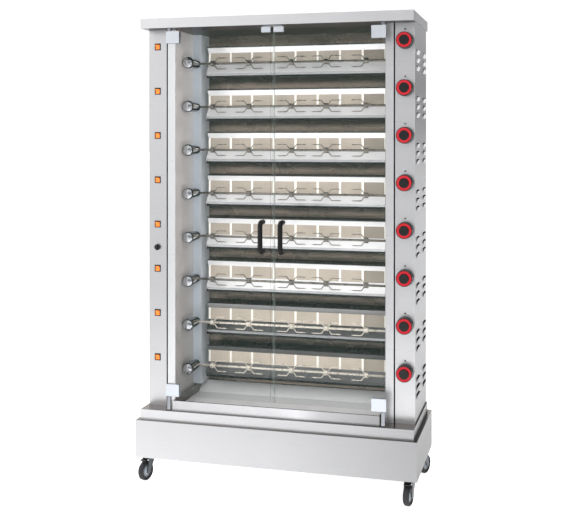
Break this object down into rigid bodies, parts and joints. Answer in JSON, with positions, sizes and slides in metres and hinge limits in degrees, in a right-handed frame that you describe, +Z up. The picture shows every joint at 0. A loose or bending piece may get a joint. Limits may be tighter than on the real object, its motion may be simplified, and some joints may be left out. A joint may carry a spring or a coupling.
{
  "type": "chicken rotisserie",
  "caption": "Upright stainless gas chicken rotisserie on castors, with forked spits before ceramic burners, glass doors, tap knobs, rocker switches and a drip tray.",
  "frame": {"origin": "on the floor, under the middle of the whole", "axes": "+Z up, the doors face -Y, +X to the right seen from the front"},
  "size_m": [1.18, 0.503, 1.944],
  "materials": {
    "brushed_panel": "fine brushed stainless",
    "polished_panel": "mirror polished stainless",
    "burner_ceramic": "matt drilled ceramic",
    "chrome_bearing": "bright chrome",
    "motor_paint": "satin black",
    "gas_metal": "plain brass",
    "satin_fitting": "satin",
    "door_glass": "clear toughened",
    "handle_black": "satin black",
    "clear_seal": "clear soft plastic",
    "spit_steel": "drawn stainless",
    "knob_black": "moulded, with a red ring",
    "switch_black": "moulded",
    "rocker_orange": "translucent moulded",
    "castor_zinc": "zinc plated",
    "castor_tyre": "moulded rubber",
    "pedal_black": "black"
  },
  "bodies": {
    "cabinet": {"base_plinth": "brushed_panel", "base_deck": "brushed_panel", "canopy": "brushed_panel", "left_column": "brushed_panel", "right_column": "brushed_panel", "left_chamber_wall": "brushed_panel", "right_chamber_wall": "brushed_panel", "chamber_back": "polished_panel", "rear_cover": "brushed_panel", "corner_shield": "polished_panel", "burner_housings": "polished_panel", "ceramic_plaques": "burner_ceramic", "spit_bearings": "chrome_bearing", "gear_motors": "motor_paint", "gas_train": "gas_metal", "door_posts": "satin_fitting", "switch_bezels": "switch_black"},
    "left_door": {"left_door_glass": "door_glass", "left_door_fittings": "satin_fitting", "left_door_handle": "handle_black"},
    "right_door": {"right_door_glass": "door_glass", "right_door_fittings": "satin_fitting", "right_door_handle": "handle_black", "door_seal": "clear_seal"},
    "tray": {"drip_tray": "polished_panel"},
    "lamp_knob": {"lamp_switch": "switch_black"},
    "spit_body_1": {"spit_1": "spit_steel"},
    "knob_body_1": {"knob_1": "knob_black"},
    "rocker_body_1": {"rocker_1": "rocker_orange"},
    "spit_body_2": {"spit_2": "spit_steel"},
    "knob_body_2": {"knob_2": "knob_black"},
    "rocker_body_2": {"rocker_2": "rocker_orange"},
    "spit_body_3": {"spit_3": "spit_steel"},
    "knob_body_3": {"knob_3": "knob_black"},
    "rocker_body_3": {"rocker_3": "rocker_orange"},
    "spit_body_4": {"spit_4": "spit_steel"},
    "knob_body_4": {"knob_4": "knob_black"},
    "rocker_body_4": {"rocker_4": "rocker_orange"},
    "spit_body_5": {"spit_5": "spit_steel"},
    "knob_body_5": {"knob_5": "knob_black"},
    "rocker_body_5": {"rocker_5": "rocker_orange"},
    "spit_body_6": {"spit_6": "spit_steel"},
    "knob_body_6": {"knob_6": "knob_black"},
    "rocker_body_6": {"rocker_6": "rocker_orange"},
    "spit_body_7": {"spit_7": "spit_steel"},
    "knob_body_7": {"knob_7": "knob_black"},
    "rocker_body_7": {"rocker_7": "rocker_orange"},
    "spit_body_8": {"spit_8": "spit_steel"},
    "knob_body_8": {"knob_8": "knob_black"},
    "rocker_body_8": {"rocker_8": "rocker_orange"},
    "front_left_swivel": {"front_left_fork": "castor_zinc"},
    "front_left_roller": {"front_left_wheel": "castor_tyre"},
    "front_left_brake": {"front_left_pedal": "pedal_black"},
    "front_right_swivel": {"front_right_fork": "castor_zinc"},
    "front_right_roller": {"front_right_wheel": "castor_tyre"},
    "front_right_brake": {"front_right_pedal": "pedal_black"},
    "rear_left_swivel": {"rear_left_fork": "castor_zinc"},
    "rear_left_roller": {"rear_left_wheel": "castor_tyre"},
    "rear_right_swivel": {"rear_right_fork": "castor_zinc"},
    "rear_right_roller": {"rear_right_wheel": "castor_tyre"}
  },
  "joints": [
    {"name": "left_door_swing", "type": "hinge", "parent": "cabinet", "child": "left_door", "pos_m": [-0.452, -0.1945, 0.364], "axis": [0, 0, 1], "range_deg": [-110, 0]},
    {"name": "right_door_swing", "type": "hinge", "parent": "cabinet", "child": "right_door", "pos_m": [0.452, -0.1945, 0.364], "axis": [0, 0, 1], "range_deg": [0, 110]},
    {"name": "tray_slide", "type": "slide", "parent": "cabinet", "child": "tray", "axis": [0, -1, 0], "range_m": [0, 0.36]},
    {"name": "lamp_turn", "type": "hinge", "parent": "cabinet", "child": "lamp_knob", "pos_m": [-0.53, -0.1335, 0.978], "axis": [0, -1, 0], "range_deg": [0, 90]},
    {"name": "spit_turn_1", "type": "hinge", "parent": "cabinet", "child": "spit_body_1", "pos_m": [0, 0.0355, 0.446], "axis": [1, 0, 0], "continuous": true},
    {"name": "knob_turn_1", "type": "hinge", "parent": "cabinet", "child": "knob_body_1", "pos_m": [0.53, -0.1335, 0.509], "axis": [0, -1, 0], "range_deg": [0, 210]},
    {"name": "rocker_tilt_1", "type": "hinge", "parent": "cabinet", "child": "rocker_body_1", "pos_m": [-0.53, -0.1305, 0.509], "axis": [1, 0, 0], "range_deg": [-16, 0]},
    {"name": "spit_turn_2", "type": "hinge", "parent": "cabinet", "child": "spit_body_2", "pos_m": [0, 0.0355, 0.635], "axis": [1, 0, 0], "continuous": true},
    {"name": "knob_turn_2", "type": "hinge", "parent": "cabinet", "child": "knob_body_2", "pos_m": [0.53, -0.1335, 0.698], "axis": [0, -1, 0], "range_deg": [0, 210]},
    {"name": "rocker_tilt_2", "type": "hinge", "parent": "cabinet", "child": "rocker_body_2", "pos_m": [-0.53, -0.1305, 0.698], "axis": [1, 0, 0], "range_deg": [-16, 0]},
    {"name": "spit_turn_3", "type": "hinge", "parent": "cabinet", "child": "spit_body_3", "pos_m": [0, 0.0355, 0.824], "axis": [1, 0, 0], "continuous": true},
    {"name": "knob_turn_3", "type": "hinge", "parent": "cabinet", "child": "knob_body_3", "pos_m": [0.53, -0.1335, 0.887], "axis": [0, -1, 0], "range_deg": [0, 210]},
    {"name": "rocker_tilt_3", "type": "hinge", "parent": "cabinet", "child": "rocker_body_3", "pos_m": [-0.53, -0.1305, 0.887], "axis": [1, 0, 0], "range_deg": [-16, 0]},
    {"name": "spit_turn_4", "type": "hinge", "parent": "cabinet", "child": "spit_body_4", "pos_m": [0, 0.0355, 1.013], "axis": [1, 0, 0], "continuous": true},
    {"name": "knob_turn_4", "type": "hinge", "parent": "cabinet", "child": "knob_body_4", "pos_m": [0.53, -0.1335, 1.076], "axis": [0, -1, 0], "range_deg": [0, 210]},
    {"name": "rocker_tilt_4", "type": "hinge", "parent": "cabinet", "child": "rocker_body_4", "pos_m": [-0.53, -0.1305, 1.076], "axis": [1, 0, 0], "range_deg": [-16, 0]},
    {"name": "spit_turn_5", "type": "hinge", "parent": "cabinet", "child": "spit_body_5", "pos_m": [0, 0.0355, 1.202], "axis": [1, 0, 0], "continuous": true},
    {"name": "knob_turn_5", "type": "hinge", "parent": "cabinet", "child": "knob_body_5", "pos_m": [0.53, -0.1335, 1.265], "axis": [0, -1, 0], "range_deg": [0, 210]},
    {"name": "rocker_tilt_5", "type": "hinge", "parent": "cabinet", "child": "rocker_body_5", "pos_m": [-0.53, -0.1305, 1.265], "axis": [1, 0, 0], "range_deg": [-16, 0]},
    {"name": "spit_turn_6", "type": "hinge", "parent": "cabinet", "child": "spit_body_6", "pos_m": [0, 0.0355, 1.391], "axis": [1, 0, 0], "continuous": true},
    {"name": "knob_turn_6", "type": "hinge", "parent": "cabinet", "child": "knob_body_6", "pos_m": [0.53, -0.1335, 1.454], "axis": [0, -1, 0], "range_deg": [0, 210]},
    {"name": "rocker_tilt_6", "type": "hinge", "parent": "cabinet", "child": "rocker_body_6", "pos_m": [-0.53, -0.1305, 1.454], "axis": [1, 0, 0], "range_deg": [-16, 0]},
    {"name": "spit_turn_7", "type": "hinge", "parent": "cabinet", "child": "spit_body_7", "pos_m": [0, 0.0355, 1.58], "axis": [1, 0, 0], "continuous": true},
    {"name": "knob_turn_7", "type": "hinge", "parent": "cabinet", "child": "knob_body_7", "pos_m": [0.53, -0.1335, 1.643], "axis": [0, -1, 0], "range_deg": [0, 210]},
    {"name": "rocker_tilt_7", "type": "hinge", "parent": "cabinet", "child": "rocker_body_7", "pos_m": [-0.53, -0.1305, 1.643], "axis": [1, 0, 0], "range_deg": [-16, 0]},
    {"name": "spit_turn_8", "type": "hinge", "parent": "cabinet", "child": "spit_body_8", "pos_m": [0, 0.0355, 1.769], "axis": [1, 0, 0], "continuous": true},
    {"name": "knob_turn_8", "type": "hinge", "parent": "cabinet", "child": "knob_body_8", "pos_m": [0.53, -0.1335, 1.832], "axis": [0, -1, 0], "range_deg": [0, 210]},
    {"name": "rocker_tilt_8", "type": "hinge", "parent": "cabinet", "child": "rocker_body_8", "pos_m": [-0.53, -0.1305, 1.832], "axis": [1, 0, 0], "range_deg": [-16, 0]},
    {"name": "front_left_swivel_turn", "type": "hinge", "parent": "cabinet", "child": "front_left_swivel", "pos_m": [-0.554, -0.1625, 0.1], "axis": [0, 0, 1], "continuous": true},
    {"name": "front_left_wheel_roll", "type": "hinge", "parent": "front_left_swivel", "child": "front_left_roller", "pos_m": [-0.56125, -0.18955, 0.04], "axis": [0.9659, -0.2588, 0], "continuous": true},
    {"name": "front_left_brake_press", "type": "hinge", "parent": "front_left_swivel", "child": "front_left_brake", "pos_m": [-0.55711, -0.17409, 0.088], "axis": [0.9659, -0.2588, 0], "range_deg": [0, 8]},
    {"name": "front_right_swivel_turn", "type": "hinge", "parent": "cabinet", "child": "front_right_swivel", "pos_m": [0.554, -0.1625, 0.1], "axis": [0, 0, 1], "continuous": true},
    {"name": "front_right_wheel_roll", "type": "hinge", "parent": "front_right_swivel", "child": "front_right_roller", "pos_m": [0.5501, -0.19023, 0.04], "axis": [0.9903, -0.1392, 0], "continuous": true},
    {"name": "front_right_brake_press", "type": "hinge", "parent": "front_right_swivel", "child": "front_right_brake", "pos_m": [0.55233, -0.17438, 0.088], "axis": [0.9903, -0.1392, 0], "range_deg": [0, 8]},
    {"name": "rear_left_swivel_turn", "type": "hinge", "parent": "cabinet", "child": "rear_left_swivel", "pos_m": [-0.554, 0.1825, 0.1], "axis": [0, 0, 1], "continuous": true},
    {"name": "rear_left_wheel_roll", "type": "hinge", "parent": "rear_left_swivel", "child": "rear_left_roller", "pos_m": [-0.54, 0.20675, 0.04], "axis": [-0.866, 0.5, 0], "continuous": true},
    {"name": "rear_right_swivel_turn", "type": "hinge", "parent": "cabinet", "child": "rear_right_swivel", "pos_m": [0.554, 0.1825, 0.1], "axis": [0, 0, 1], "continuous": true},
    {"name": "rear_right_wheel_roll", "type": "hinge", "parent": "rear_right_swivel", "child": "rear_right_roller", "pos_m": [0.56265, 0.20913, 0.04], "axis": [-0.9511, 0.309, 0], "continuous": true}
  ]
}
